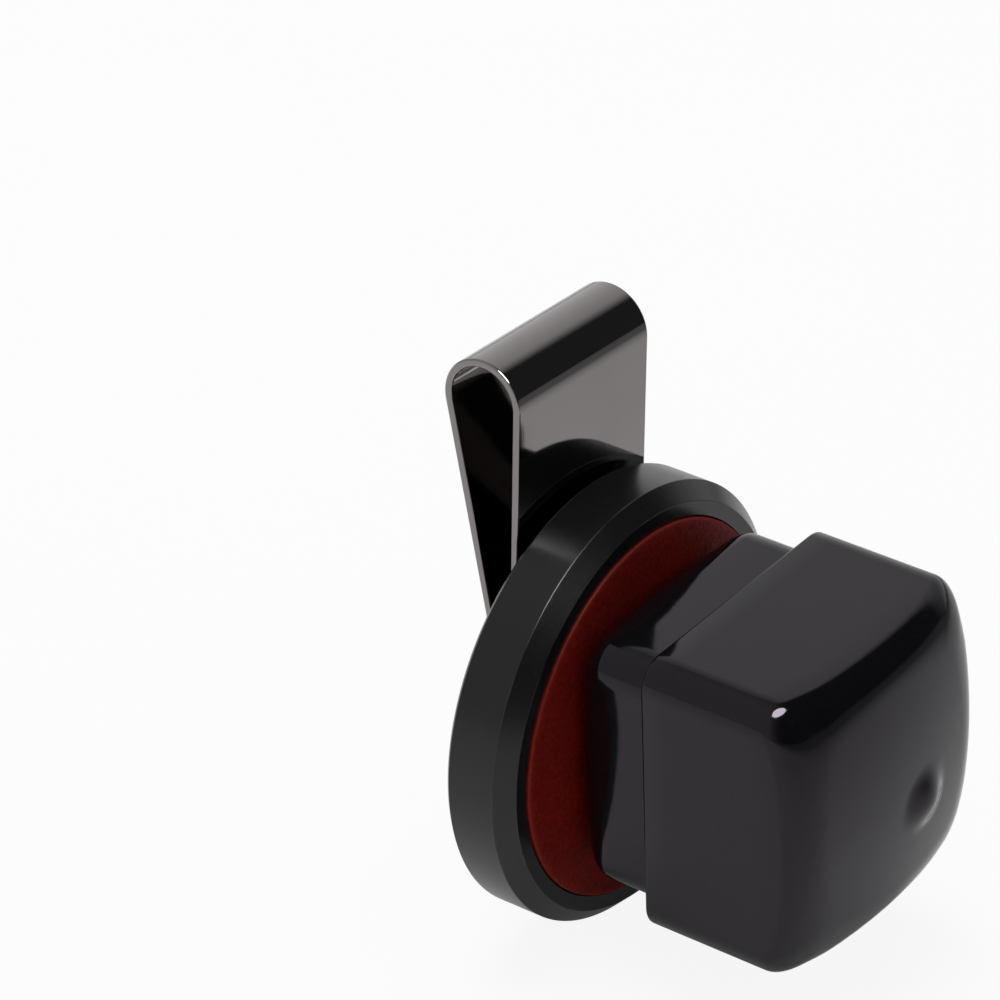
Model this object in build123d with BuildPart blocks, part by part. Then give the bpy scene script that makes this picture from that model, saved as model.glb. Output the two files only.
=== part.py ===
"""Chalk holder: a capped vinyl case, held by magnets on a round leather-faced base with a spring clip.

The frame is the holder as it is worn. +Z is up along the clip, -Y is out from the wearer and +X is
sideways. The origin is on the axis of the round base, on the gripping face of the clip.
"""

import os
from math import atan2, cos, degrees, radians, sin, sqrt, tan

from build123d import *

os.makedirs("parts", exist_ok=True)

# Spring clip, bent from one flat steel strip
clip_width = 20.0
strip_thickness = 0.8
bend_radius = 3.5
bend_height = 32.6
front_leg_land = 1.6
leg_tilt = 13.0
tip_radius = 6.0
tip_gap = 0.1
flare_angle = 25.0
flare_length = 4.0
strip_corner = 2.0

# Round base, turned from aluminium bar
disc_radius = 22.0
disc_thickness = 7.0
front_chamfer = 1.6
back_chamfer = 0.4
front_ring = 1.5
seat_land = 1.1
seat_height = 1.0

# Leather pad, glued in the recess of the base
pad_thickness = 1.6
pad_proud = 0.3
pad_edge = 0.3
pad_clearance = 0.1

# Magnets, one under the pad and one on the floor of the case
base_magnet_radius = 10.0
base_magnet_thickness = 3.0
case_magnet_radius = 9.0
case_magnet_thickness = 1.0
magnet_clearance = 0.1

# Rivets that hold the clip on the base
rivet_radius = 1.5
rivet_land = 0.05
rivet_head_radius = 2.6
rivet_head_height = 1.0
rivet_tail_radius = 2.3
rivet_tail_height = 0.5
rivet_clearance = 0.05

# Chalk case, dip-moulded in vinyl, and how it stands on the pad
case_width = 26.8
case_length = 22.1
case_wall = 1.4
case_floor = 1.3
case_corner = 3.3
case_floor_bevel = 1.5
case_turn = 4.0
case_shift_x = 0.7
case_shift_z = 1.2
case_seat_gap = 0.05

# Cap, dip-moulded in vinyl, slid over the open end of the case
cap_wall = 1.4
cap_clearance = 0.1
cap_corner = 3.2
cap_rim_height = 9.4
cap_length = 18.7
cap_hollow_depth = 16.3
cap_hollow_flat = 11.0
cap_hollow_slope = 4.0
cap_end_radius = 2.9
roll_steps = 4
dome_radius = 59.0
nub_radius = 5.0
nub_height = 1.5
nub_shift_x = 3.4
nub_shift_z = -2.8
rim_edge = 0.3

# Places along the axis of the base, from the clip out to the leather face
clip_face = -strip_thickness
disc_back = clip_face - seat_height
disc_front = disc_back - disc_thickness
pad_face = disc_front - pad_proud
recess_floor = pad_face + pad_thickness
pocket_floor = recess_floor + base_magnet_thickness

# Widths that follow from the fits
recess_radius = disc_radius - front_chamfer - front_ring
pad_radius = recess_radius - pad_clearance
pocket_radius = base_magnet_radius + magnet_clearance
rivet_reach = pocket_radius + rivet_land + rivet_head_radius + rivet_clearance
seat_radius = rivet_reach + rivet_head_radius + seat_land
front_leg_drop = rivet_reach + rivet_head_radius + front_leg_land
case_inside = case_width - 2 * case_wall
cap_inside = case_width + 2 * cap_clearance
cap_width = cap_inside + 2 * cap_wall
cap_diagonal = cap_width * sqrt(2) - 2 * cap_corner * (sqrt(2) - 1)

# Planes that face out of the leather side: local X is sideways and local Z is out from the wearer
recess_plane = Plane(origin=(0, recess_floor, 0), x_dir=(1, 0, 0), z_dir=(0, -1, 0))
pocket_plane = Plane(origin=(0, pocket_floor, 0), x_dir=(1, 0, 0), z_dir=(0, -1, 0))
case_plane = Plane(
    origin=(case_shift_x, pad_face - case_seat_gap, case_shift_z),
    x_dir=(cos(radians(case_turn)), 0, sin(radians(case_turn))),
    z_dir=(0, -1, 0),
)
cap_plane = case_plane.offset(cap_rim_height)
rivet_heights = (-rivet_reach, rivet_reach)


def around(centre, radius, angle):
    """The point at an angle on a circle of a flat drawing."""
    return (centre[0] + radius * cos(radians(angle)), centre[1] + radius * sin(radians(angle)))


# Side view of the clip, with +Y to the right and +Z up: its bend, the line where it flexes, and its tip
bend_centre = (bend_radius, bend_height)
bend_outside = bend_radius + strip_thickness
flex_inner = around(bend_centre, bend_radius, -leg_tilt)
flex_outer = around(bend_centre, bend_outside, -leg_tilt)
tip_inner_y = tip_gap + tip_radius * (1 - cos(radians(leg_tilt)))
tip_inner_z = flex_inner[1] - (flex_inner[0] - tip_inner_y) / tan(radians(leg_tilt))
tip_centre = (tip_gap + tip_radius, tip_inner_z - tip_radius * sin(radians(leg_tilt)))
tip_outside = tip_radius - strip_thickness
flare_run = (flare_length * sin(radians(flare_angle)), -flare_length * cos(radians(flare_angle)))
flare_inner = around(tip_centre, tip_radius, 180 + flare_angle)
flare_outer = around(tip_centre, tip_outside, 180 + flare_angle)
foot_inner = (flare_inner[0] + flare_run[0], flare_inner[1] + flare_run[1])
foot_outer = (flare_outer[0] + flare_run[0], flare_outer[1] + flare_run[1])

# Base: rim with a chamfer on each side, raised seat for the clip, recess for the pad, pocket for the magnet
with BuildPart() as base_disc:
    with BuildSketch(Plane.XY):
        with BuildLine():
            Polyline(
                (0, clip_face),
                (seat_radius, clip_face),
                (seat_radius, disc_back),
                (disc_radius - back_chamfer, disc_back),
                (disc_radius, disc_back - back_chamfer),
                (disc_radius, disc_front + front_chamfer),
                (disc_radius - front_chamfer, disc_front),
                (recess_radius, disc_front),
                (recess_radius, recess_floor),
                (pocket_radius, recess_floor),
                (pocket_radius, pocket_floor),
                (0, pocket_floor),
                close=True,
            )
        make_face()
    revolve(axis=Axis.Y)
    with Locations(*[Plane((0, recess_floor, z), (1, 0, 0), (0, -1, 0)) for z in rivet_heights]):
        CounterBoreHole(
            rivet_radius + rivet_clearance, rivet_head_radius + rivet_clearance, rivet_head_height
        )

# Magnet in the pocket of the base
with BuildPart() as base_magnet:
    with BuildSketch(pocket_plane):
        Circle(base_magnet_radius)
    extrude(amount=base_magnet_thickness)

# Pad: a disc of leather with its front edge skived
with BuildPart() as leather_pad:
    with BuildSketch(recess_plane):
        Circle(pad_radius)
    extrude(amount=pad_thickness)
    chamfer(leather_pad.edges().sort_by(Axis.Y)[0], pad_edge)

# Front leg of the clip with the bend at its top, drilled for the rivets
with BuildPart() as clip_front_leg:
    with BuildSketch(Plane.YZ):
        with BuildLine():
            Line((clip_face, -front_leg_drop), (clip_face, bend_height))
            CenterArc(bend_centre, bend_outside, 180, -180 - leg_tilt)
            Line(flex_outer, flex_inner)
            CenterArc(bend_centre, bend_radius, -leg_tilt, 180 + leg_tilt)
            Line((0, bend_height), (0, -front_leg_drop))
            Line((0, -front_leg_drop), (clip_face, -front_leg_drop))
        make_face()
    extrude(amount=clip_width / 2, both=True)
    fillet(clip_front_leg.edges().filter_by(Axis.Y).group_by(Axis.Z)[0], strip_corner)
    with Locations(*[Plane((0, 0, z), (1, 0, 0), (0, 1, 0)) for z in rivet_heights]):
        Hole(rivet_radius + rivet_clearance, depth=strip_thickness)

# Spring leg of the clip: straight from the bend to the gripping curve, then flared out
with BuildPart() as clip_spring_leg:
    with BuildSketch(Plane.YZ):
        with BuildLine():
            Line(flex_outer, around(tip_centre, tip_outside, 180 - leg_tilt))
            CenterArc(tip_centre, tip_outside, 180 - leg_tilt, leg_tilt + flare_angle)
            Line(flare_outer, foot_outer)
            Line(foot_outer, foot_inner)
            Line(foot_inner, flare_inner)
            CenterArc(tip_centre, tip_radius, 180 + flare_angle, -leg_tilt - flare_angle)
            Line(around(tip_centre, tip_radius, 180 - leg_tilt), flex_inner)
            Line(flex_inner, flex_outer)
        make_face()
    extrude(amount=clip_width / 2, both=True)
    foot_face = clip_spring_leg.faces().sort_by(Axis.Z)[0]
    fillet(foot_face.edges().filter_by(Axis.X, reverse=True), strip_corner)

# Rivets: flat head under the pad, shank through the base and the strip, low flat tail in the clip
for rivet_name, rivet_height in zip(("rivet_lower", "rivet_upper"), rivet_heights):
    with BuildPart() as rivet:
        with BuildSketch(Plane.XY.offset(rivet_height)):
            with BuildLine():
                Polyline(
                    (0, rivet_tail_height),
                    (0, recess_floor),
                    (rivet_head_radius, recess_floor),
                    (rivet_head_radius, recess_floor + rivet_head_height),
                    (rivet_radius, recess_floor + rivet_head_height),
                    (rivet_radius, 0),
                    (rivet_tail_radius, 0),
                    (rivet_tail_radius, rivet_tail_height),
                    close=True,
                )
            make_face()
        revolve(axis=Axis((0, 0, rivet_height), (0, 1, 0)))
    rivet.part.label = rivet_name
    export_step(rivet.part, f"parts/{rivet_name}.step")

# Case: a square cup with soft corners, its closed end towards the pad
with BuildPart() as chalk_case:
    with BuildSketch(case_plane):
        RectangleRounded(case_width, case_width, case_corner)
    extrude(amount=case_length)
    fillet(chalk_case.faces().sort_by(Axis.Y)[-1].edges(), case_corner)
    with BuildSketch(case_plane.offset(case_floor)):
        RectangleRounded(case_inside, case_inside, case_corner - case_wall)
    case_hollow = extrude(amount=case_length - case_floor, mode=Mode.PRIVATE)
    floor_edges = case_hollow.faces().sort_by(Axis.Y)[-1].edges()
    add(case_hollow.chamfer(case_floor_bevel, None, floor_edges), mode=Mode.SUBTRACT)
    chamfer(chalk_case.faces().sort_by(Axis.Y)[0].edges(), rim_edge)

# Magnet on the floor of the case, under the chalk
with BuildPart() as case_magnet:
    with BuildSketch(case_plane.offset(case_floor)):
        Circle(case_magnet_radius)
    extrude(amount=case_magnet_thickness)


def rolled_dome(reach, line):
    """The dome with its edge rolled over at that reach, turned about a line through the dome's centre.

    Local X runs towards the edge and local Y out of the cap. The roll goes round in short straight steps.
    """
    roll_reach = reach - cap_end_radius
    roll_height = sqrt((dome_radius - cap_end_radius) ** 2 - roll_reach**2)
    sweep = degrees(atan2(roll_height, roll_reach))
    turns = [sweep * step / roll_steps for step in range(roll_steps + 1)]
    with BuildPart() as dome:
        with BuildSketch():
            with BuildLine():
                roll = [around((roll_reach, roll_height), cap_end_radius, turn) for turn in turns]
                Polyline((0, dome_radius), (0, 0), (reach, 0), *roll)
                CenterArc((0, 0), dome_radius, sweep, 90 - sweep)
            make_face()
        revolve(axis=line)
        mirror(about=Plane.YZ)
    return dome.part


# Hollow of the cap about its own axis, with +Z out of the cap: square, its end coned in to a flat
with BuildPart() as cap_hollow:
    with BuildSketch():
        RectangleRounded(cap_inside, cap_inside, cap_corner - cap_wall)
    extrude(amount=cap_hollow_depth)
    Cone(
        cap_hollow_flat + cap_hollow_depth * cap_hollow_slope,
        cap_hollow_flat,
        cap_hollow_depth,
        align=(Align.CENTER, Align.CENTER, Align.MIN),
        mode=Mode.INTERSECT,
    )

# Cap about its own axis: a square sleeve with a domed end, and the low nub that the last drop leaves
dome_centre = (0, 0, cap_length - dome_radius)
with BuildPart() as cap_form:
    with BuildSketch():
        RectangleRounded(cap_width, cap_width, cap_corner)
    extrude(amount=cap_length)
    for side_view in (Plane.XZ, Plane.YZ):
        with Locations(side_view.shift_origin(dome_centre)):
            add(rolled_dome(cap_width / 2, Axis.X), mode=Mode.INTERSECT)
    with Locations(Plane.XZ.shift_origin(dome_centre)):
        add(rolled_dome(cap_diagonal / 2, Axis.Y), mode=Mode.INTERSECT)
    with Locations((nub_shift_x, nub_shift_z, cap_length + nub_height - nub_radius)):
        Sphere(nub_radius)
    add(cap_hollow.part, mode=Mode.SUBTRACT)
    chamfer(cap_form.faces().sort_by(Axis.Z)[0].edges(), rim_edge)

# Cap in its place over the open end of the case
with BuildPart() as cap:
    with Locations(cap_plane):
        add(cap_form.part)

pieces = {
    "base_disc": base_disc,
    "base_magnet": base_magnet,
    "leather_pad": leather_pad,
    "clip_front_leg": clip_front_leg,
    "clip_spring_leg": clip_spring_leg,
    "chalk_case": chalk_case,
    "case_magnet": case_magnet,
    "cap": cap,
}
for piece_name, piece in pieces.items():
    piece.part.label = piece_name
    export_step(piece.part, f"parts/{piece_name}.step")
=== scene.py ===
import math

import bmesh
import bpy
import numpy as np
from mathutils import Matrix, Vector


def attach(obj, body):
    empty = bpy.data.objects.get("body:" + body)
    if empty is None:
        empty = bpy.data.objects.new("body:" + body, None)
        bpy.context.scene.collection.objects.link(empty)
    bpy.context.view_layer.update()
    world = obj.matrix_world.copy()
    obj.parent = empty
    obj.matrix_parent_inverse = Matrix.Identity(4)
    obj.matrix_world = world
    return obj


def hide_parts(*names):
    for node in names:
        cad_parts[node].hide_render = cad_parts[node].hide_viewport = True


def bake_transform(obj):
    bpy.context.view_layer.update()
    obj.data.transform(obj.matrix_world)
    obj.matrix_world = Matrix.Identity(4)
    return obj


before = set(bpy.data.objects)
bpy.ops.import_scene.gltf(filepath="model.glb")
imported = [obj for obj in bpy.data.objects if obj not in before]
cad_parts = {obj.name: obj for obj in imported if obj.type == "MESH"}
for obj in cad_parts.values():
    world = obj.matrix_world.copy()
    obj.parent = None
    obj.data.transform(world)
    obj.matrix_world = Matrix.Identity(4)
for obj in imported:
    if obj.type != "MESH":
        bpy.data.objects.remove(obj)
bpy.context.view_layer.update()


# Round base: turned from aluminium bar, with a wide chamfer in front, a fine one behind and a low seat for
# the clip. It is bead-blasted fine and anodised black, so it is satin, with bare metal glinting on its edges.

mm = 0.001
disc_radius = 22.0
disc_back, disc_front = -1.8, -8.8
front_chamfer, back_chamfer = 1.6, 0.4
seat_radius, seat_face = 16.5, -0.8
recess_radius, recess_floor = 18.9, -7.5
pocket_radius, pocket_floor = 10.1, -4.5
broken_edge, edge_hold, edge_steps = 0.12, 0.04, 4
disc_segments = 240


def linear(hex_colour):
    """An sRGB hex colour as linear RGBA."""
    parts = [int(hex_colour[i:i + 2], 16) / 255 for i in (1, 3, 5)]
    return [p / 12.92 if p <= 0.04045 else ((p + 0.055) / 1.055) ** 2.4 for p in parts] + [1.0]


def add_node(tree, kind, settings=None, links=None):
    """Adds a node. Lower-case settings are its properties, the others its sockets, and links feed sockets.

    A Mix node's sockets go by number: 0 is its factor, 2 and 3 are its two numbers, 6 and 7 its two colours.
    """
    made = tree.nodes.new(kind)
    for key, value in (settings or {}).items():
        if isinstance(key, str) and key.islower():
            setattr(made, key, value)
        else:
            made.inputs[key].default_value = value
    for key, source in (links or {}).items():
        tree.links.new(source, made.inputs[key])
    return made


def new_material(name):
    """A bare material with its node tree and its output node."""
    material = bpy.data.materials.new(name)
    material.use_nodes = True
    material.node_tree.nodes.clear()
    return material, material.node_tree, add_node(material.node_tree, "ShaderNodeOutputMaterial")


def rounded_profile(corners, radius, hold, steps):
    """Profile points with each corner broken to a small arc, and 1 where a point is on an arc, else 0.

    A point is held on each side of an arc, so that the flats beside it keep their shading.
    """
    spots = [np.array(corner, float) for corner in corners]
    points, edge_marks = [spots[0]], [0.0]
    for before, here, after in zip(spots, spots[1:], spots[2:]):
        back, ahead = before - here, after - here
        back_unit, ahead_unit = back / np.linalg.norm(back), ahead / np.linalg.norm(ahead)
        half_turn = math.acos(np.clip(back_unit @ ahead_unit, -1, 1)) / 2
        run = radius / math.tan(half_turn)
        between = (back_unit + ahead_unit) / np.linalg.norm(back_unit + ahead_unit)
        centre = here + between * radius / math.sin(half_turn)
        first, last = here + back_unit * run - centre, here + ahead_unit * run - centre
        sweep = math.acos(np.clip(first @ last / radius**2, -1, 1))
        points.append(here + back_unit * (run + hold))
        for step in range(steps + 1):
            share = step / steps
            arm = math.sin((1 - share) * sweep) * first + math.sin(share * sweep) * last
            points.append(centre + arm / math.sin(sweep))
        points.append(here + ahead_unit * (run + hold))
        edge_marks += [0.0] + [1.0] * (steps + 1) + [0.0]
    return points + [spots[-1]], edge_marks + [0.0]


def mesh_object(name, vertices, faces, values=None):
    """A smooth, closed mesh object in metres from millimetres, with a value per vertex kept as edge_wear_and_highlight."""
    weld_distance = 1e-7
    mesh = bpy.data.meshes.new(name)
    mesh.from_pydata([Vector(v) * mm for v in vertices], [], faces)
    if values is not None:
        mesh.attributes.new("edge_wear_and_highlight", "FLOAT", "POINT").data.foreach_set("value", values)
    work = bmesh.new()
    work.from_mesh(mesh)
    bmesh.ops.remove_doubles(work, verts=work.verts, dist=weld_distance)
    bmesh.ops.recalc_face_normals(work, faces=work.faces)
    work.to_mesh(mesh)
    work.free()
    mesh.shade_smooth()
    made = bpy.data.objects.new(name, mesh)
    bpy.context.scene.collection.objects.link(made)
    return made


def ring_faces(rings, columns):
    """Faces between closed rings of points that lie one after the other."""
    faces = []
    for low in range(0, (rings - 1) * columns, columns):
        high = low + columns
        for here in range(columns):
            beside = (here + 1) % columns
            faces.append((low + here, low + beside, high + beside, high + here))
    return faces


def turned(name, profile, segments, edge_marks=None):
    """A piece turned about the Y axis from (radius, y) points in millimetres."""
    angles = [2 * math.pi * i / segments for i in range(segments)]
    vertices = [(r * math.cos(a), y, r * math.sin(a)) for r, y in profile for a in angles]
    values = None if edge_marks is None else [w for w in edge_marks for _ in angles]
    return mesh_object(name, vertices, ring_faces(len(profile), segments), values)


def anodised_black():
    """Black anodised aluminium: satin, a little cloudy, with faint turning lines and bare edges.

    The blasted grit and the turning lines are drawn coarser than the real ones, so that they show.
    """
    line_spacing, cloud_size, grit_size = 0.45, 7.0, 0.25
    # At scale 1 the lines of the ring pattern lie this far apart, in metres.
    ring_period = 0.31
    material, tree, output = new_material("anodised_aluminium_black")
    place = add_node(tree, "ShaderNodeTexCoord").outputs["Object"]
    cloud = add_node(
        tree, "ShaderNodeTexNoise", {"Scale": 1 / (cloud_size * mm), "Detail": 3.0}, {"Vector": place}
    )
    grit = add_node(
        tree, "ShaderNodeTexNoise", {"Scale": 1 / (grit_size * mm), "Detail": 2.0}, {"Vector": place}
    )
    lines = add_node(
        tree, "ShaderNodeTexWave",
        {"wave_type": "RINGS", "rings_direction": "Y", "Scale": ring_period / (line_spacing * mm),
         "Distortion": 0.6},
        {"Vector": place},
    )
    dye = add_node(
        tree, "ShaderNodeMix", {"data_type": "RGBA", 6: linear("#0c0c0d"), 7: linear("#121214")},
        {0: cloud.outputs["Fac"]},
    )
    edge_mark = add_node(tree, "ShaderNodeAttribute", {"attribute_name": "edge_wear_and_highlight"})
    broken = add_node(
        tree, "ShaderNodeMapRange", {"From Min": 0.35, "From Max": 0.6, "To Max": 0.06},
        {"Value": cloud.outputs["Fac"]},
    )
    bare = add_node(
        tree, "ShaderNodeMath", {"operation": "MULTIPLY"},
        {0: edge_mark.outputs["Fac"], 1: broken.outputs["Result"]},
    )
    colour = add_node(
        tree, "ShaderNodeMix", {"data_type": "RGBA", 7: linear("#a9a9ab")},
        {0: bare.outputs["Value"], 6: dye.outputs[2]},
    )
    rough = add_node(
        tree, "ShaderNodeMapRange", {"To Min": 0.2, "To Max": 0.3}, {"Value": grit.outputs["Fac"]}
    )
    relief = add_node(
        tree, "ShaderNodeMix", {"data_type": "FLOAT", 0: 0.35},
        {2: grit.outputs["Fac"], 3: lines.outputs["Fac"]},
    )
    bump = add_node(
        tree, "ShaderNodeBump", {"Strength": 0.12, "Distance": 0.02 * mm}, {"Height": relief.outputs[0]}
    )
    shader = add_node(
        tree, "ShaderNodeBsdfPrincipled", {"Specular IOR Level": 0.4},
        {"Base Color": colour.outputs[2], "Roughness": rough.outputs["Result"],
         "Metallic": bare.outputs["Value"], "Normal": bump.outputs["Normal"]},
    )
    tree.links.new(shader.outputs["BSDF"], output.inputs["Surface"])
    return material


disc_profile, disc_wear = rounded_profile(
    [
        (0, seat_face),
        (seat_radius, seat_face),
        (seat_radius, disc_back),
        (disc_radius - back_chamfer, disc_back),
        (disc_radius, disc_back - back_chamfer),
        (disc_radius, disc_front + front_chamfer),
        (disc_radius - front_chamfer, disc_front),
        (recess_radius, disc_front),
        (recess_radius, recess_floor),
        (pocket_radius, recess_floor),
        (pocket_radius, pocket_floor),
        (0, pocket_floor),
    ],
    broken_edge, edge_hold, edge_steps,
)
base = turned("base_disc_turned", disc_profile, disc_segments, disc_wear)
base.data.materials.append(anodised_black())
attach(base, "base")
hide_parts("base_disc")


# Magnets: nickel-plated discs, one glued in the pocket of the base and one on the floor of the case.
# Plating gives a bright grey skin with a faint orange peel. Both keep their CAD shape.

def nickel_plate():
    """Nickel plate over a sintered magnet: bright, slightly warm, with a fine orange peel."""
    peel_size = 0.8
    material, tree, output = new_material("nickel_plate")
    place = add_node(tree, "ShaderNodeTexCoord").outputs["Object"]
    peel = add_node(
        tree, "ShaderNodeTexNoise", {"Scale": 1 / (peel_size * mm), "Detail": 4.0}, {"Vector": place}
    )
    colour = add_node(
        tree, "ShaderNodeMix", {"data_type": "RGBA", 6: linear("#b4b0a8"), 7: linear("#c6c3bc")},
        {0: peel.outputs["Fac"]},
    )
    rough = add_node(
        tree, "ShaderNodeMapRange", {"To Min": 0.18, "To Max": 0.3}, {"Value": peel.outputs["Fac"]}
    )
    bump = add_node(
        tree, "ShaderNodeBump", {"Strength": 0.1, "Distance": 0.02 * mm}, {"Height": peel.outputs["Fac"]}
    )
    shader = add_node(
        tree, "ShaderNodeBsdfPrincipled", {"Metallic": 1.0},
        {"Base Color": colour.outputs[2], "Roughness": rough.outputs["Result"],
         "Normal": bump.outputs["Normal"]},
    )
    tree.links.new(shader.outputs["BSDF"], output.inputs["Surface"])
    return material


magnet_finish = nickel_plate()
for magnet_name in ("base_magnet", "case_magnet"):
    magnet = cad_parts[magnet_name]
    magnet.data.materials.clear()
    magnet.data.materials.append(magnet_finish)


# Clip: one strip of spring steel, bent round at the top and curled out at the free end, polished and plated
# with black nickel. Its front leg is fixed behind the base and its back leg springs, so the strip is drawn as
# two lengths that meet in the bend.

clip_width, strip_thickness = 20.0, 0.8
strip_edge, strip_edge_points, strip_corner = 0.22, 5, 2.0
front_leg_drop, bend_height, bend_radius = 17.0, 32.6, 3.5
leg_tilt = math.radians(13.0)
tip_radius, tip_gap = 6.0, 0.1
flare_angle, flare_length = math.radians(25.0), 4.0
seam_turn, seam_step = math.radians(30.0), 0.004
front_leg_steps, front_bend_steps = 40, 120
flare_steps, tip_steps, spring_leg_steps, back_bend_steps = 24, 20, 30, 40
sharp_fold = math.radians(40.0)


def arc(centre, radius, start, end, steps):
    """Points on an arc in the side view, where the first number is Y and the second is Z."""
    turns = [start + (end - start) * i / steps for i in range(steps + 1)]
    return [(centre[0] + radius * math.cos(t), centre[1] + radius * math.sin(t)) for t in turns]


def straight(start, end, steps):
    """Points on a straight run, closer together towards both ends."""
    shares = [(1 - math.cos(math.pi * i / steps)) / 2 for i in range(steps + 1)]
    return [(start[0] + (end[0] - start[0]) * s, start[1] + (end[1] - start[1]) * s) for s in shares]


# The strip's middle line. A point close to the seam lets both lengths end square to the bend.
half_thick = strip_thickness / 2
bend_centre, bend_middle = (bend_radius, bend_height), bend_radius + half_thick
front_bend = arc(bend_centre, bend_middle, math.pi, seam_turn, front_bend_steps)
front_bend.insert(-1, arc(bend_centre, bend_middle, math.pi, seam_turn + seam_step, 1)[-1])
back_bend = arc(bend_centre, bend_middle, -leg_tilt, seam_turn, back_bend_steps)
back_bend.insert(-1, arc(bend_centre, bend_middle, -leg_tilt, seam_turn - seam_step, 1)[-1])
flex_inner = (
    bend_centre[0] + bend_radius * math.cos(leg_tilt),
    bend_centre[1] - bend_radius * math.sin(leg_tilt),
)
tip_inner_y = tip_gap + tip_radius * (1 - math.cos(leg_tilt))
tip_inner_z = flex_inner[1] - (flex_inner[0] - tip_inner_y) / math.tan(leg_tilt)
tip_centre = (tip_gap + tip_radius, tip_inner_z - tip_radius * math.sin(leg_tilt))
tip_points = arc(tip_centre, tip_radius - half_thick, math.pi + flare_angle, math.pi - leg_tilt, tip_steps)
flare_end = (
    tip_points[0][0] + flare_length * math.sin(flare_angle),
    tip_points[0][1] - flare_length * math.cos(flare_angle),
)
front_path = straight((-half_thick, -front_leg_drop), front_bend[0], front_leg_steps)[:-1] + front_bend
spring_path = straight(flare_end, tip_points[0], flare_steps)[:-1] + tip_points
spring_path += straight(tip_points[-1], back_bend[0], spring_leg_steps)[1:-1] + back_bend

# The strip follows the line, and its first end is drawn in to two round corners.
strip_tree = bpy.data.node_groups.new("strip_along_path", "GeometryNodeTree")
strip_tree.interface.new_socket("Geometry", in_out="INPUT", socket_type="NodeSocketGeometry")
for socket_name in ("Strip width", "Strip thickness", "Edge radius", "Corner radius"):
    strip_tree.interface.new_socket(socket_name, in_out="INPUT", socket_type="NodeSocketFloat")
strip_tree.interface.new_socket("Finish", in_out="INPUT", socket_type="NodeSocketMaterial")
strip_tree.interface.new_socket("Geometry", in_out="OUTPUT", socket_type="NodeSocketGeometry")
strip_in = add_node(strip_tree, "NodeGroupInput").outputs
level_curve = add_node(
    strip_tree, "GeometryNodeSetCurveNormal", {"mode": "FREE", "Normal": (1, 0, 0)},
    {"Curve": strip_in["Geometry"]},
)
run = add_node(strip_tree, "GeometryNodeSplineParameter").outputs["Length"]
inside = add_node(
    strip_tree, "ShaderNodeMath", {"operation": "MINIMUM"}, {0: run, 1: strip_in["Corner radius"]}
).outputs[0]
short = add_node(
    strip_tree, "ShaderNodeMath", {"operation": "SUBTRACT"}, {0: strip_in["Corner radius"], 1: inside}
).outputs[0]
short_squared = add_node(
    strip_tree, "ShaderNodeMath", {"operation": "MULTIPLY"}, {0: short, 1: short}
).outputs[0]
corner_squared = add_node(
    strip_tree, "ShaderNodeMath", {"operation": "MULTIPLY"},
    {0: strip_in["Corner radius"], 1: strip_in["Corner radius"]},
).outputs[0]
rise_squared = add_node(
    strip_tree, "ShaderNodeMath", {"operation": "SUBTRACT"}, {0: corner_squared, 1: short_squared}
).outputs[0]
rise = add_node(strip_tree, "ShaderNodeMath", {"operation": "SQRT"}, {0: rise_squared}).outputs[0]
inset = add_node(
    strip_tree, "ShaderNodeMath", {"operation": "SUBTRACT"}, {0: strip_in["Corner radius"], 1: rise}
).outputs[0]
kept = add_node(
    strip_tree, "GeometryNodeCaptureAttribute", {"domain": "POINT"},
    {"Geometry": level_curve.outputs["Curve"]},
)
kept.capture_items.new("FLOAT", "Inset")
strip_tree.links.new(inset, kept.inputs["Inset"])
section = add_node(
    strip_tree, "GeometryNodeCurvePrimitiveQuadrilateral", {"mode": "RECTANGLE"},
    {"Width": strip_in["Strip width"], "Height": strip_in["Strip thickness"]},
)
soft_section = add_node(
    strip_tree, "GeometryNodeFilletCurve", {"mode": "POLY", "Count": strip_edge_points},
    {"Curve": section.outputs["Curve"], "Radius": strip_in["Edge radius"]},
)
swept = add_node(
    strip_tree, "GeometryNodeCurveToMesh", {"Fill Caps": True},
    {"Curve": kept.outputs["Geometry"], "Profile Curve": soft_section.outputs["Curve"]},
)
spot = add_node(strip_tree, "GeometryNodeInputPosition").outputs["Position"]
spot_x = add_node(strip_tree, "ShaderNodeSeparateXYZ", {}, {"Vector": spot}).outputs["X"]
half_width = add_node(
    strip_tree, "ShaderNodeMath", {"operation": "MULTIPLY", 1: 0.5}, {0: strip_in["Strip width"]}
).outputs[0]
share_x = add_node(
    strip_tree, "ShaderNodeMath", {"operation": "DIVIDE"}, {0: spot_x, 1: half_width}
).outputs[0]
drawn_in = add_node(
    strip_tree, "ShaderNodeMath", {"operation": "MULTIPLY"}, {0: share_x, 1: kept.outputs["Inset"]}
).outputs[0]
shift = add_node(strip_tree, "ShaderNodeMath", {"operation": "MULTIPLY", 1: -1.0}, {0: drawn_in}).outputs[0]
move = add_node(strip_tree, "ShaderNodeCombineXYZ", {}, {"X": shift}).outputs["Vector"]
cornered = add_node(
    strip_tree, "GeometryNodeSetPosition", {}, {"Geometry": swept.outputs["Mesh"], "Offset": move}
)
fold = add_node(strip_tree, "GeometryNodeInputMeshEdgeAngle").outputs["Unsigned Angle"]
sharp = add_node(
    strip_tree, "ShaderNodeMath", {"operation": "GREATER_THAN", 1: sharp_fold}, {0: fold}
).outputs[0]
smooth = add_node(
    strip_tree, "GeometryNodeSetShadeSmooth", {"domain": "EDGE", "Shade Smooth": False},
    {"Geometry": cornered.outputs["Geometry"], "Selection": sharp},
)
real = add_node(strip_tree, "GeometryNodeRealizeInstances", {}, {"Geometry": smooth.outputs["Geometry"]})
dressed = add_node(
    strip_tree, "GeometryNodeSetMaterial", {},
    {"Geometry": real.outputs["Geometry"], "Material": strip_in["Finish"]},
)
add_node(strip_tree, "NodeGroupOutput", {}, {"Geometry": dressed.outputs["Geometry"]})


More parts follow.
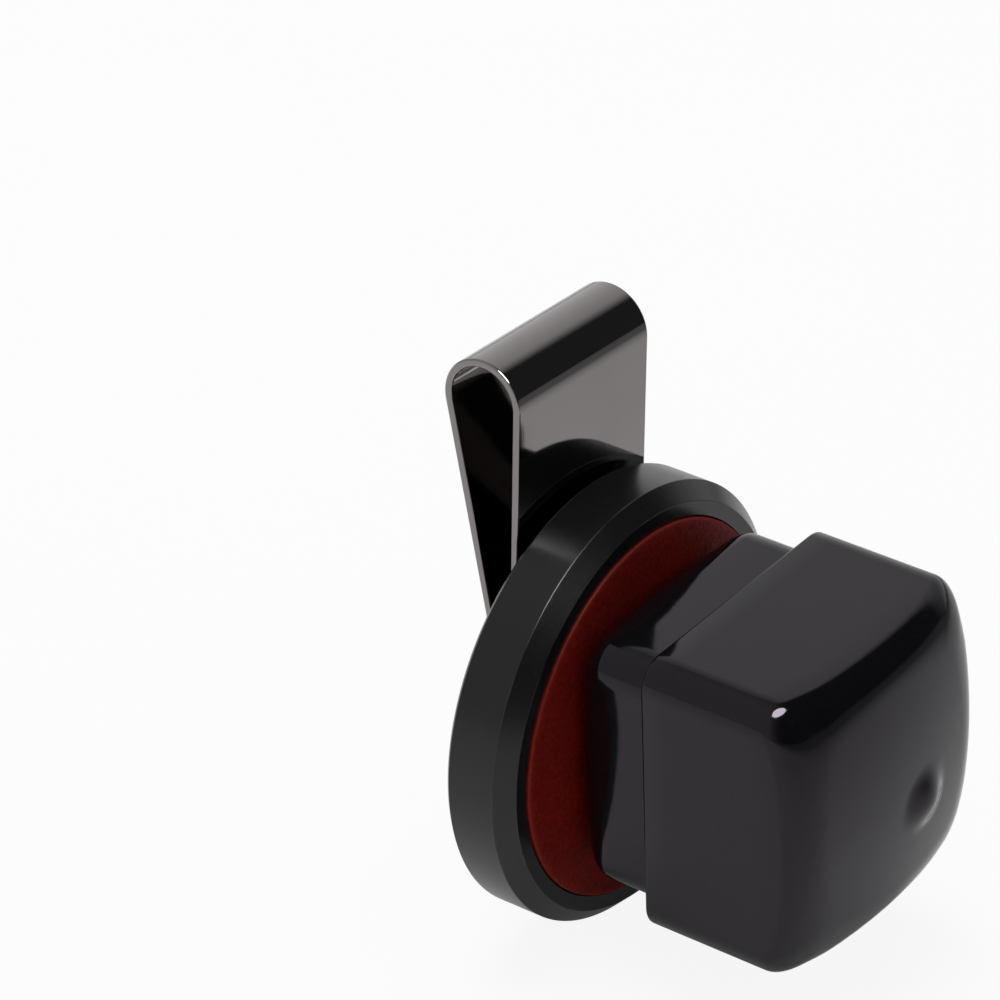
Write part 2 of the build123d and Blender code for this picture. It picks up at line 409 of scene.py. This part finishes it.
def set_inputs(modifier, values):
    """Sets a Geometry Nodes modifier's inputs by their sockets' identifiers."""
    for item in modifier.node_group.interface.items_tree:
        if item.item_type == "SOCKET" and item.in_out == "INPUT" and item.name in values:
            modifier[item.identifier] = values[item.name]


def plain_mesh(source, name):
    """The evaluated object as a plain mesh object. The source is removed."""
    bpy.context.view_layer.update()
    evaluated = source.evaluated_get(bpy.context.evaluated_depsgraph_get())
    mesh = bpy.data.meshes.new_from_object(evaluated)
    bpy.data.objects.remove(source)
    mesh.name = name
    made = bpy.data.objects.new(name, mesh)
    bpy.context.scene.collection.objects.link(made)
    return made


def black_nickel():
    """Black nickel over polished steel: a dark mirror, with hair lines along the strip and slight ripples.

    The hair lines are drawn wider than the real ones, so that they show.
    """
    hair_width, hair_length, ripple_size = 0.12, 14.0, 6.0
    material, tree, output = new_material("black_nickel_polished_steel")
    place = add_node(tree, "ShaderNodeTexCoord").outputs["Object"]
    along = add_node(
        tree, "ShaderNodeMapping",
        {"Scale": (1 / (hair_width * mm), 1 / (hair_length * mm), 1 / (hair_length * mm))}, {"Vector": place},
    )
    hair = add_node(
        tree, "ShaderNodeTexNoise", {"Scale": 1.0, "Detail": 3.0}, {"Vector": along.outputs["Vector"]}
    )
    ripple = add_node(
        tree, "ShaderNodeTexNoise", {"Scale": 1 / (ripple_size * mm), "Detail": 2.0}, {"Vector": place}
    )
    colour = add_node(
        tree, "ShaderNodeMix", {"data_type": "RGBA", 6: linear("#878281"), 7: linear("#8f8b8a")},
        {0: ripple.outputs["Fac"]},
    )
    rough = add_node(
        tree, "ShaderNodeMapRange", {"To Min": 0.03, "To Max": 0.08}, {"Value": hair.outputs["Fac"]}
    )
    relief = add_node(
        tree, "ShaderNodeMix", {"data_type": "FLOAT", 0: 0.7},
        {2: hair.outputs["Fac"], 3: ripple.outputs["Fac"]},
    )
    bump = add_node(
        tree, "ShaderNodeBump", {"Strength": 0.05, "Distance": 0.05 * mm}, {"Height": relief.outputs[0]}
    )
    shader = add_node(
        tree, "ShaderNodeBsdfPrincipled", {"Metallic": 1.0},
        {"Base Color": colour.outputs[2], "Roughness": rough.outputs["Result"],
         "Normal": bump.outputs["Normal"]},
    )
    tree.links.new(shader.outputs["BSDF"], output.inputs["Surface"])
    return material


clip_finish = black_nickel()


def swept_strip(name, path):
    """A length of the strip swept along a path, with its first end's corners rounded."""
    curve = bpy.data.curves.new(name, "CURVE")
    curve.dimensions = "3D"
    line = curve.splines.new("POLY")
    line.points.add(len(path) - 1)
    for point, (y, z) in zip(line.points, path):
        point.co = (0, y * mm, z * mm, 1)
    drawn = bpy.data.objects.new(name, curve)
    bpy.context.scene.collection.objects.link(drawn)
    sweep = drawn.modifiers.new("strip", "NODES")
    sweep.node_group = strip_tree
    set_inputs(
        sweep,
        {"Strip width": clip_width * mm, "Strip thickness": strip_thickness * mm,
         "Edge radius": strip_edge * mm, "Corner radius": strip_corner * mm, "Finish": clip_finish},
    )
    swept_mesh = plain_mesh(drawn, name)
    swept_mesh.modifiers.new("even_normals", "WEIGHTED_NORMAL").keep_sharp = True
    return plain_mesh(swept_mesh, name)


clip_front = swept_strip("clip_front_strip", front_path)
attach(clip_front, "base")
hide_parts("clip_front_leg")

clip_spring = swept_strip("clip_spring_strip", spring_path)
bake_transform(clip_spring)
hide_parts("clip_spring_leg")


# Rivets: two steel rivets hold the clip's front leg on the base. Their flat heads lie sunk under the pad, and
# their tails are pressed flat on the strip, inside the clip.

rivet_count, rivet_radius, rivet_reach = 2, 1.5, 12.8
rivet_head_radius, rivet_head_height = 2.6, 1.0
rivet_tail_radius, rivet_tail_height = 2.3, 0.5
rivet_edge, rivet_edge_hold, rivet_edge_steps = 0.15, 0.02, 3
rivet_segments = 48

rivet_profile, _ = rounded_profile(
    [
        (0, recess_floor),
        (rivet_head_radius, recess_floor),
        (rivet_head_radius, recess_floor + rivet_head_height),
        (rivet_radius, recess_floor + rivet_head_height),
        (rivet_radius, 0),
        (rivet_tail_radius, 0),
        (rivet_tail_radius, rivet_tail_height),
        (0, rivet_tail_height),
    ],
    rivet_edge, rivet_edge_hold, rivet_edge_steps,
)

row_tree = bpy.data.node_groups.new("row_of_rivets", "GeometryNodeTree")
row_tree.interface.new_socket("Geometry", in_out="INPUT", socket_type="NodeSocketGeometry")
row_tree.interface.new_socket("Rivets", in_out="INPUT", socket_type="NodeSocketInt")
row_tree.interface.new_socket("Reach", in_out="INPUT", socket_type="NodeSocketFloat")
row_tree.interface.new_socket("Finish", in_out="INPUT", socket_type="NodeSocketMaterial")
row_tree.interface.new_socket("Geometry", in_out="OUTPUT", socket_type="NodeSocketGeometry")
row_in = add_node(row_tree, "NodeGroupInput").outputs
lowest = add_node(
    row_tree, "ShaderNodeMath", {"operation": "MULTIPLY", 1: -1.0}, {0: row_in["Reach"]}
).outputs[0]
low_end = add_node(row_tree, "ShaderNodeCombineXYZ", {}, {"Z": lowest}).outputs["Vector"]
high_end = add_node(row_tree, "ShaderNodeCombineXYZ", {}, {"Z": row_in["Reach"]}).outputs["Vector"]
seats = add_node(
    row_tree, "GeometryNodeMeshLine", {"mode": "END_POINTS"},
    {"Count": row_in["Rivets"], "Start Location": low_end, "Offset": high_end},
)
placed = add_node(
    row_tree, "GeometryNodeInstanceOnPoints", {},
    {"Points": seats.outputs["Mesh"], "Instance": row_in["Geometry"]},
)
row_real = add_node(row_tree, "GeometryNodeRealizeInstances", {}, {"Geometry": placed.outputs["Instances"]})
row_dressed = add_node(
    row_tree, "GeometryNodeSetMaterial", {},
    {"Geometry": row_real.outputs["Geometry"], "Material": row_in["Finish"]},
)
add_node(row_tree, "NodeGroupOutput", {}, {"Geometry": row_dressed.outputs["Geometry"]})


def darkened_steel():
    """Darkened steel, pressed: dull grey, with a fine hammered bloom."""
    bloom_size = 0.6
    material, tree, output = new_material("darkened_steel")
    place = add_node(tree, "ShaderNodeTexCoord").outputs["Object"]
    bloom = add_node(
        tree, "ShaderNodeTexNoise", {"Scale": 1 / (bloom_size * mm), "Detail": 4.0}, {"Vector": place}
    )
    colour = add_node(
        tree, "ShaderNodeMix", {"data_type": "RGBA", 6: linear("#8e8e90"), 7: linear("#a6a6a8")},
        {0: bloom.outputs["Fac"]},
    )
    rough = add_node(
        tree, "ShaderNodeMapRange", {"To Min": 0.25, "To Max": 0.42}, {"Value": bloom.outputs["Fac"]}
    )
    bump = add_node(
        tree, "ShaderNodeBump", {"Strength": 0.2, "Distance": 0.02 * mm}, {"Height": bloom.outputs["Fac"]}
    )
    shader = add_node(
        tree, "ShaderNodeBsdfPrincipled", {"Metallic": 1.0},
        {"Base Color": colour.outputs[2], "Roughness": rough.outputs["Result"],
         "Normal": bump.outputs["Normal"]},
    )
    tree.links.new(shader.outputs["BSDF"], output.inputs["Surface"])
    return material


one_rivet = turned("one_rivet", rivet_profile, rivet_segments)
row = one_rivet.modifiers.new("row", "NODES")
row.node_group = row_tree
set_inputs(row, {"Rivets": rivet_count, "Reach": rivet_reach * mm, "Finish": darkened_steel()})
rivets = plain_mesh(one_rivet, "rivets")
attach(rivets, "base")
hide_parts("rivet_lower", "rivet_upper")


# Leather pad: a disc of red chrome-tanned leather, glued in the recess of the base. Its front edge is skived
# and paler, partly from rubbing and partly as a painted highlight, and it stands a little proud of the metal.

pad_radius, pad_thickness, pad_segments = 18.8, 1.6, 180
pad_edge, pad_edge_hold, pad_edge_steps, pad_back_edge = 0.2, 0.1, 6, 0.05
pad_rings, ring_rubbing_and_highlight = (0.4, 0.6, 1.0, 2.0, 4.0, 8.0, 13.0), (0.6, 0.15)

pad_face = recess_floor - pad_thickness
pad_profile = [
    (0, recess_floor),
    (pad_radius - pad_back_edge, recess_floor),
    (pad_radius, recess_floor - pad_back_edge),
    (pad_radius, pad_face + pad_edge + pad_edge_hold),
]
pad_wear_and_highlight = [0.0] * len(pad_profile)
for step in range(pad_edge_steps + 1):
    edge_turn = math.pi / 2 * step / pad_edge_steps
    edge_in, edge_out = pad_edge * (1 - math.cos(edge_turn)), pad_edge * (1 - math.sin(edge_turn))
    pad_profile.append((pad_radius - edge_in, pad_face + edge_out))
    pad_wear_and_highlight.append(1.0)
pad_profile += [(pad_radius - inset, pad_face) for inset in pad_rings] + [(0, pad_face)]
# The edge and the first two rings inside it get a paler mark, partly rubbing and partly a painted highlight.
pad_wear_and_highlight += list(ring_rubbing_and_highlight)
pad_wear_and_highlight += [0.0] * (len(pad_profile) - len(pad_wear_and_highlight))


def red_leather():
    """Smooth red leather: pebbled grain with fine creases, painted darker in them as shade, and paler on the
    cut edge, partly from rubbing and partly as a painted highlight.
    """
    pebble_size, crease_size, cloud_size = 0.5, 0.2, 8.0
    stray_size, stray_reach = 2.0, 0.6
    material, tree, output = new_material("red_leather")
    place = add_node(tree, "ShaderNodeTexCoord").outputs["Object"]
    stray = add_node(
        tree, "ShaderNodeTexNoise", {"Scale": 1 / (stray_size * mm), "Detail": 2.0}, {"Vector": place}
    )
    bent = add_node(
        tree, "ShaderNodeVectorMath", {"operation": "MULTIPLY_ADD", 1: (stray_reach * mm,) * 3},
        {0: stray.outputs["Color"], 2: place},
    )
    pebbles = add_node(
        tree, "ShaderNodeTexVoronoi",
        {"feature": "SMOOTH_F1", "Scale": 1 / (pebble_size * mm), "Smoothness": 0.35},
        {"Vector": bent.outputs["Vector"]},
    )
    creases = add_node(
        tree, "ShaderNodeTexNoise", {"Scale": 1 / (crease_size * mm), "Detail": 3.0}, {"Vector": place}
    )
    cloud = add_node(
        tree, "ShaderNodeTexNoise", {"Scale": 1 / (cloud_size * mm), "Detail": 3.0}, {"Vector": place}
    )
    grain = add_node(
        tree, "ShaderNodeMix", {"data_type": "FLOAT", 0: 0.4},
        {2: pebbles.outputs["Distance"], 3: creases.outputs["Fac"]},
    )
    dye = add_node(
        tree, "ShaderNodeMix", {"data_type": "RGBA", 6: linear("#881b12"), 7: linear("#67120c")},
        {0: cloud.outputs["Fac"]},
    )
    # Painted shade: the grain's low places and creases are mixed darker.
    in_crease = add_node(
        tree, "ShaderNodeMapRange", {"From Min": 0.3, "From Max": 0.7, "To Max": 0.48},
        {"Value": grain.outputs[0]},
    )
    shaded = add_node(
        tree, "ShaderNodeMix", {"data_type": "RGBA", 7: linear("#2e0403")},
        {0: in_crease.outputs["Result"], 6: dye.outputs[2]},
    )
    # Painted highlight with rubbing: the cut edge and a thin band inside it are mixed paler, partly to stand
    # in for the light the edge catches.
    edge_mark = add_node(tree, "ShaderNodeAttribute", {"attribute_name": "edge_wear_and_highlight"})
    edge_paling = add_node(
        tree, "ShaderNodeMath", {"operation": "MULTIPLY", 1: 0.25}, {0: edge_mark.outputs["Fac"]}
    )
    colour = add_node(
        tree, "ShaderNodeMix", {"data_type": "RGBA", 7: linear("#93392c")},
        {0: edge_paling.outputs["Value"], 6: shaded.outputs[2]},
    )
    height = add_node(tree, "ShaderNodeMath", {"operation": "SUBTRACT", 0: 1.0}, {1: grain.outputs[0]})
    rough = add_node(
        tree, "ShaderNodeMapRange", {"To Min": 0.42, "To Max": 0.6}, {"Value": creases.outputs["Fac"]}
    )
    bump = add_node(
        tree, "ShaderNodeBump", {"Strength": 0.5, "Distance": 0.12 * mm}, {"Height": height.outputs["Value"]}
    )
    shader = add_node(
        tree, "ShaderNodeBsdfPrincipled", {"Specular IOR Level": 0.05},
        {"Base Color": colour.outputs[2], "Roughness": rough.outputs["Result"],
         "Normal": bump.outputs["Normal"]},
    )
    tree.links.new(shader.outputs["BSDF"], output.inputs["Surface"])
    return material


pad = turned("leather_pad_disc", pad_profile, pad_segments, pad_wear_and_highlight)
pad.data.materials.append(red_leather())
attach(pad, "base")
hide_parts("leather_pad")


# Chalk case: a square cup dip-moulded in black vinyl, which stands on the pad with its closed end. The walls
# are soft and glossy, with rounded corners all round the closed end and a trimmed rim.

case_width, case_length, case_wall, case_floor, case_corner = 26.8, 22.1, 1.4, 1.3, 3.3
case_place, case_turn = Vector((0.7, -9.15, 1.2)), math.radians(4.0)
case_dome, case_inner_dome = 500.0, 500.0
rim_edge, rim_steps = 0.3, 4
corner_start = 0.5
corner_steps, side_steps = 10, 16
outer_steps, inner_steps = (6, 16, 28), (4, 6, 12)


def cup_outline(half, corner):
    """Round a square with soft corners: the points and the ways out from them."""
    core = half - corner
    places = [
        (half, core * math.sin(math.pi / 2 * (2 * i / side_steps - 1)), 0.0) for i in range(side_steps)
    ]
    turns = [math.pi / 2 * i / corner_steps for i in range(corner_steps)]
    places += [(core + corner * math.cos(t), core + corner * math.sin(t), t) for t in turns]
    points, ways = [], []
    for c, s in ((1, 0), (0, 1), (-1, 0), (0, -1)):
        for x, y, t in places:
            points.append((x * c - y * s, x * s + y * c))
            ways.append((math.cos(t) * c - math.sin(t) * s, math.cos(t) * s + math.sin(t) * c))
    return np.array(points), np.array(ways)


def cup_rows(outline, depth, dome, roll, steps, nub=None):
    """Rows of points up a cup's skin, from above its rim, over its soft roll, to the middle of its end.

    The roll is how far it runs in, and how far it drops on the sides and at the corners. The steps are for
    the wall, the roll and the end. A nub is its radius, height and place.
    """
    reach = np.linalg.norm(outline, axis=1)[:, None]
    around, half = outline / reach, np.abs(outline).max()
    run_in, side_drop, corner_drop = roll
    wall_steps, roll_steps, dome_steps = steps
    crown = depth - dome
    nearness = np.clip((np.abs(outline).min(1) / half - corner_start) / (1 - corner_start), 0, 1)
    drop = side_drop + (corner_drop - side_drop) * nearness**2 * (3 - 2 * nearness)

    def end_height(spot):
        height = crown + np.sqrt(dome**2 - (spot**2).sum(1))
        if nub:
            nub_reach, nub_rise, nub_spot = nub
            share = np.minimum(np.linalg.norm(spot - nub_spot, axis=1) / nub_reach, 1)
            height = height + nub_rise * (1 - share**2) ** 2
        return height

    top = end_height(outline) - drop
    rows = [
        np.column_stack([outline, rim_edge + (top - rim_edge) * step / wall_steps])
        for step in range(wall_steps + 1)
    ]
    turns = [math.pi / 2 * step / roll_steps for step in range(1, roll_steps + 1)]
    insets = [(run_in * (1 - math.cos(t)), 1 - math.sin(t)) for t in turns]
    insets += [(run_in + (half - run_in) * step / dome_steps, 0.0) for step in range(1, dome_steps + 1)]
    for inset, fall in insets:
        share = inset / half
        roundness = 1 - (1 - share) ** 2
        spot = (1 - share) * ((1 - roundness) * outline + roundness * around * half)
        rows.append(np.column_stack([spot, end_height(spot) - drop * fall]))
    return rows


def moulded_cup(name, half, corner, roll, wall, depth, dome, inner_depth, inner_dome, place, nub=None):
    """A cup with its rim at height 0 and its closed end at depth, put in its place by a function."""
    outside, away = cup_outline(half, corner)
    inside, _ = cup_outline(half - wall, corner - wall)
    run_in, side_drop, _ = roll
    inner_roll = (run_in - wall / 2, side_drop - wall / 2, side_drop - wall / 2)
    outer = cup_rows(outside, depth, dome, roll, outer_steps, nub)
    inner = cup_rows(inside, inner_depth, inner_dome, inner_roll, inner_steps)
    away = np.column_stack([away, np.zeros(len(outside))])
    fall = np.array([0, 0, rim_edge])
    turns = [math.pi / 2 * step / rim_steps for step in range(1, rim_steps + 1)]
    rim = [outer[0] - away * rim_edge * (1 - math.cos(t)) - fall * math.sin(t) for t in turns]
    rim += [inner[0] + away * rim_edge * (1 - math.cos(t)) - fall * math.sin(t) for t in turns[::-1]]
    rows = outer[::-1] + rim + inner
    points = [place(*point) for row_points in rows for point in row_points]
    return mesh_object(name, points, ring_faces(len(rows), len(outside)))


def black_vinyl():
    """Dip-moulded black vinyl: deep black, glossy, a little wavy, with a faint bloom and specks of dust."""
    wave_size, bloom_size, speck_size = 4.0, 1.2, 0.9
    material, tree, output = new_material("dip_moulded_vinyl")
    place = add_node(tree, "ShaderNodeTexCoord").outputs["Object"]
    local = add_node(
        tree, "ShaderNodeMapping", {"Location": [-c * mm for c in case_place]}, {"Vector": place}
    ).outputs["Vector"]
    wave = add_node(
        tree, "ShaderNodeTexNoise", {"Scale": 1 / (wave_size * mm), "Detail": 2.0}, {"Vector": local}
    )
    bloom = add_node(
        tree, "ShaderNodeTexNoise", {"Scale": 1 / (bloom_size * mm), "Detail": 5.0}, {"Vector": local}
    )
    specks = add_node(tree, "ShaderNodeTexVoronoi", {"Scale": 1 / (speck_size * mm)}, {"Vector": local})
    speck = add_node(
        tree, "ShaderNodeMapRange", {"From Min": 0.09, "From Max": 0.05, "To Max": 0.25},
        {"Value": specks.outputs["Distance"]},
    )
    skin = add_node(
        tree, "ShaderNodeMix", {"data_type": "RGBA", 6: linear("#0a090b"), 7: linear("#0e0d0f")},
        {0: bloom.outputs["Fac"]},
    )
    colour = add_node(
        tree, "ShaderNodeMix", {"data_type": "RGBA", 7: linear("#4a4846")},
        {0: speck.outputs["Result"], 6: skin.outputs[2]},
    )
    rough = add_node(
        tree, "ShaderNodeMapRange", {"To Min": 0.06, "To Max": 0.1}, {"Value": bloom.outputs["Fac"]}
    )
    bump = add_node(
        tree, "ShaderNodeBump", {"Strength": 0.15, "Distance": 0.08 * mm}, {"Height": wave.outputs["Fac"]}
    )
    shader = add_node(
        tree, "ShaderNodeBsdfPrincipled",
        {"Specular IOR Level": 0.36, "Specular Tint": linear("#f9ecff")},
        {"Base Color": colour.outputs[2], "Roughness": rough.outputs["Result"],
         "Normal": bump.outputs["Normal"]},
    )
    tree.links.new(shader.outputs["BSDF"], output.inputs["Surface"])
    return material


def on_case(u, v, out):
    """A point of the case's own frame, with its closed end at 0, in the object's frame."""
    c, s = math.cos(case_turn), math.sin(case_turn)
    return (case_place.x + u * c - v * s, case_place.y - out, case_place.z + u * s + v * c)


vinyl = black_vinyl()
case = moulded_cup(
    "chalk_case_cup", case_width / 2, case_corner, (case_corner,) * 3, case_wall, case_length, case_dome,
    case_length - case_floor, case_inner_dome, lambda u, v, h: on_case(u, v, case_length - h),
)
case.data.materials.append(vinyl)
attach(case, "case")
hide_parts("chalk_case")


# Cap: a second, larger vinyl cup slid over the open end of the case. Its closed end is domed, and the last
# drop of the dip has set on it as a low nub, off the middle.

cap_width, cap_corner, cap_roll, cap_wall = 29.8, 2.9, (3.8, 2.0, 3.1), 1.4
cap_length, cap_rim_height, cap_dome = 18.75, 9.4, 75.0
cap_hollow_depth, cap_hollow_dome = 16.3, 60.0
nub_radius, nub_height, nub_place = 3.6, 0.92, (3.75, -2.9)

cap = moulded_cup(
    "cap_cup", cap_width / 2, cap_corner, cap_roll, cap_wall, cap_length, cap_dome,
    cap_hollow_depth, cap_hollow_dome, lambda u, v, h: on_case(u, v, cap_rim_height + h),
    (nub_radius, nub_height, nub_place),
)
cap.data.materials.append(vinyl)
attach(cap, "cap")
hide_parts("cap")


# Floor: a plain white studio sweep, seen white by the camera, which keeps the holder's soft shadow. Polished
# faces show it too, and there its colour is painted darker towards the front, as painted shade where the
# studio is dark.

floor_level, floor_half = -disc_radius, 4000.0
tooth_size = 30.0
shadow_lift, gloss_lift = 0.9, 0.1
front_way, dim_start, dim_end, dim_most = (0.45, -0.9, 0), 40.0, 270.0, 0.84

floor_corners = ((-1, -1), (1, -1), (1, 1), (-1, 1))
floor_mesh = bpy.data.meshes.new("studio_floor")
floor_mesh.from_pydata(
    [(x * floor_half * mm, y * floor_half * mm, floor_level * mm) for x, y in floor_corners],
    [], [(0, 1, 2, 3)],
)
floor = bpy.data.objects.new("studio_floor", floor_mesh)
bpy.context.scene.collection.objects.link(floor)

# White studio paper: matt and nearly even, with a soft tooth.
floor_paint, floor_tree, floor_output = new_material("white_studio_paper")
paper_place = add_node(floor_tree, "ShaderNodeTexCoord").outputs["Object"]
paper_tooth = add_node(
    floor_tree, "ShaderNodeTexNoise", {"Scale": 1 / (tooth_size * mm)}, {"Vector": paper_place}
)
paper_colour = add_node(
    floor_tree, "ShaderNodeMix", {"data_type": "RGBA", 6: linear("#fafafa"), 7: linear("#ffffff")},
    {0: paper_tooth.outputs["Fac"]},
)
# Painted shade: in glossy rays only, the paper's colour is mixed towards black further to the front.
towards_front = add_node(
    floor_tree, "ShaderNodeVectorMath", {"operation": "DOT_PRODUCT", 1: front_way}, {0: paper_place}
)
front_dim = add_node(
    floor_tree, "ShaderNodeMapRange",
    {"From Min": dim_start * mm, "From Max": dim_end * mm, "To Max": dim_most},
    {"Value": towards_front.outputs["Value"]},
)
glow = add_node(floor_tree, "ShaderNodeEmission", {"Color": linear("#ffffff"), "Strength": 1.0})
floor_paths = add_node(floor_tree, "ShaderNodeLightPath").outputs
dimmed = add_node(
    floor_tree, "ShaderNodeMath", {"operation": "MULTIPLY"},
    {0: front_dim.outputs["Result"], 1: floor_paths["Is Glossy Ray"]},
)
paper_shade = add_node(
    floor_tree, "ShaderNodeMix", {"data_type": "RGBA", 7: linear("#000000")},
    {0: dimmed.outputs[0], 6: paper_colour.outputs[2]},
)
paper = add_node(floor_tree, "ShaderNodeBsdfDiffuse", {"Roughness": 0.5}, {"Color": paper_shade.outputs[2]})
floor_seen = add_node(
    floor_tree, "ShaderNodeMath", {"operation": "MAXIMUM"},
    {0: floor_paths["Is Camera Ray"], 1: floor_paths["Is Transmission Ray"]},
)
lift_in_gloss = add_node(
    floor_tree, "ShaderNodeMath", {"operation": "MULTIPLY", 1: gloss_lift},
    {0: floor_paths["Is Glossy Ray"]},
)
lifted = add_node(
    floor_tree, "ShaderNodeMath", {"operation": "MULTIPLY_ADD", 1: shadow_lift},
    {0: floor_seen.outputs[0], 2: lift_in_gloss.outputs[0]},
)
floor_look = add_node(
    floor_tree, "ShaderNodeMixShader", {},
    {0: lifted.outputs[0], 1: paper.outputs["BSDF"], 2: glow.outputs["Emission"]},
)
floor_tree.links.new(floor_look.outputs["Shader"], floor_output.inputs["Surface"])
floor_mesh.materials.append(floor_paint)


# Light: a white sweep rises behind the holder on the right, and polished faces show it with the white floor.
# The camera's side of the studio is dim. A round soft light stands over the camera for the highlights, and a
# soft box hangs overhead for the matt faces.

sweep_way, left_way = (0.8, 0.6, 0), (-0.7, 0.7, 0)
even_light = 0.35

world = bpy.data.worlds.new("white_sweep")
bpy.context.scene.world = world
world.use_nodes = True
room_tree = world.node_tree
room_tree.nodes.clear()
world_output = add_node(room_tree, "ShaderNodeOutputWorld")
paths = add_node(room_tree, "ShaderNodeLightPath").outputs
looking = add_node(room_tree, "ShaderNodeTexCoord").outputs["Generated"]
towards_sweep = add_node(
    room_tree, "ShaderNodeVectorMath", {"operation": "DOT_PRODUCT", 1: sweep_way}, {0: looking}
)
sweep_edge = add_node(
    room_tree, "ShaderNodeMapRange",
    {"interpolation_type": "SMOOTHSTEP", "From Min": 0.4, "From Max": 0.62, "To Max": 0.6},
    {"Value": towards_sweep.outputs["Value"]},
)
sweep_rise = add_node(
    room_tree, "ShaderNodeMapRange", {"From Min": 0.6, "From Max": 0.96, "To Min": 1.0, "To Max": 1.5},
    {"Value": towards_sweep.outputs["Value"]},
)
sweep_light = add_node(
    room_tree, "ShaderNodeMath", {"operation": "MULTIPLY"},
    {0: sweep_edge.outputs["Result"], 1: sweep_rise.outputs["Result"]},
)
towards_left = add_node(
    room_tree, "ShaderNodeVectorMath", {"operation": "DOT_PRODUCT", 1: left_way}, {0: looking}
)
side_light = add_node(
    room_tree, "ShaderNodeMapRange",
    {"interpolation_type": "SMOOTHSTEP", "From Min": -0.35, "From Max": 0.5, "To Min": 0.035, "To Max": 0.55},
    {"Value": towards_left.outputs["Value"]},
)
room_light = add_node(
    room_tree, "ShaderNodeMath", {"operation": "MAXIMUM"},
    {0: sweep_light.outputs[0], 1: side_light.outputs["Result"]},
)
for_gloss = add_node(
    room_tree, "ShaderNodeMix", {"data_type": "FLOAT", 2: even_light},
    {0: paths["Is Glossy Ray"], 3: room_light.outputs[0]},
)
seen_straight = add_node(
    room_tree, "ShaderNodeMath", {"operation": "MAXIMUM"},
    {0: paths["Is Camera Ray"], 1: paths["Is Transmission Ray"]},
)
strength = add_node(
    room_tree, "ShaderNodeMix", {"data_type": "FLOAT", 3: 1.0},
    {0: seen_straight.outputs[0], 2: for_gloss.outputs[0]},
)
room = add_node(
    room_tree, "ShaderNodeBackground", {"Color": linear("#ffffff")}, {"Strength": strength.outputs[0]}
)
room_tree.links.new(room.outputs["Background"], world_output.inputs["Surface"])


def soft_light(name, shape, direction, distance, size, power):
    """A soft light that faces the holder from a direction, with its distance and size in metres."""
    lamp = bpy.data.lights.new(name, "AREA")
    lamp.shape = shape
    lamp.size = size
    lamp.energy = power
    stand = bpy.data.objects.new(name, lamp)
    away = Vector(direction).normalized()
    stand.location = away * distance
    stand.rotation_euler = away.to_track_quat("Z", "Y").to_euler()
    stand.visible_camera = False
    bpy.context.scene.collection.objects.link(stand)
    return stand


over_camera = soft_light(
    "light_over_camera", "DISK", direction=(-0.25, -0.4, 0.88), distance=0.9, size=0.55, power=14.0
)
over_camera.visible_diffuse = False
overhead = soft_light(
    "soft_box_overhead", "SQUARE", direction=(0.0, 0.15, 0.99), distance=0.8, size=0.5, power=3.6
)
overhead.visible_glossy = False


# Camera: to the left of the holder and above it, with a long lens, so that its edges stay nearly parallel.
# Its place and turn are fitted to the outlines in the photograph.

camera_lens, sensor_width = 201.6, 36.0
camera_place = Vector((-369.05, -268.1, 274.3))
camera_right = Vector((0.60464, -0.79643, 0.01024))
camera_up = Vector((0.38345, 0.30233, 0.87268))

camera_data = bpy.data.cameras.new("camera")
camera_data.sensor_width = sensor_width
camera_data.lens = camera_lens
camera = bpy.data.objects.new("camera", camera_data)
camera_back = camera_right.cross(camera_up)
camera_turn = Matrix((camera_right, camera_up, camera_back)).transposed().to_4x4()
camera.matrix_world = Matrix.Translation(camera_place * mm) @ camera_turn
bpy.context.scene.collection.objects.link(camera)
bpy.context.scene.camera = camera

bpy.context.scene.view_settings.view_transform = "Standard"
